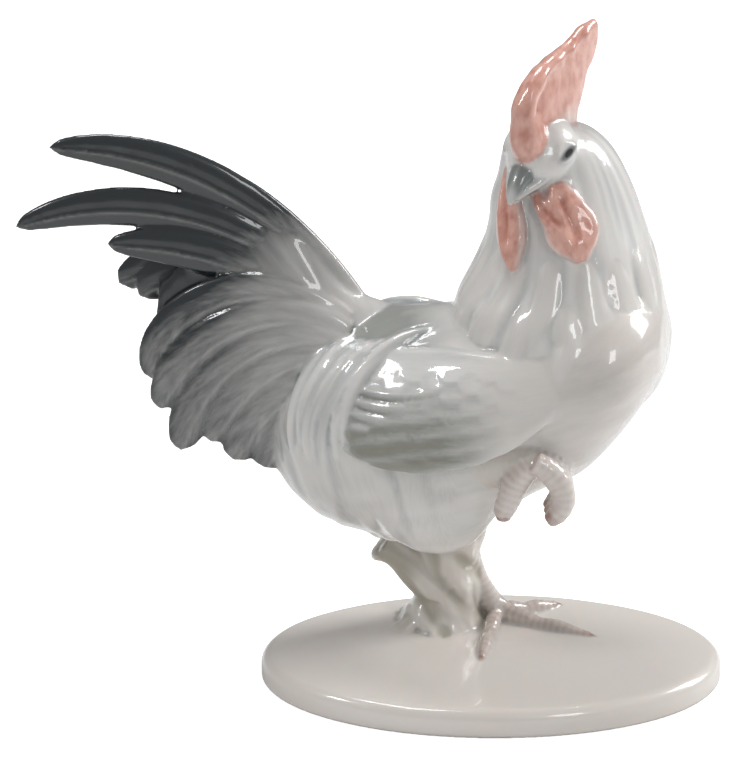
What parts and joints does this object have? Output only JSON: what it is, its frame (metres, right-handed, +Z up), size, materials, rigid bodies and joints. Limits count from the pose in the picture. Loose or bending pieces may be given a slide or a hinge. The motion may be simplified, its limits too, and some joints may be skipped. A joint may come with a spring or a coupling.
{
  "type": "rooster figurine",
  "caption": "One-piece glazed porcelain cockerel on an oval plinth, standing on one leg against a stump, with its head turned back and its tail raised in a fan.",
  "frame": {"origin": "on the table, under the middle of the figure's bounding box", "axes": "+X towards the breast side, +Y away from the viewer of the picture, +Z up; the foot ring faces -Z"},
  "size_m": [0.2564, 0.1016, 0.2491],
  "materials": {
    "glazed_porcelain": "clear gloss glaze over white porcelain, with airbrushed blue-grey tail and wings and a pink comb and wattles"
  },
  "bodies": {
    "root": {"rooster_figurine": "glazed_porcelain"}
  },
  "joints": []
}
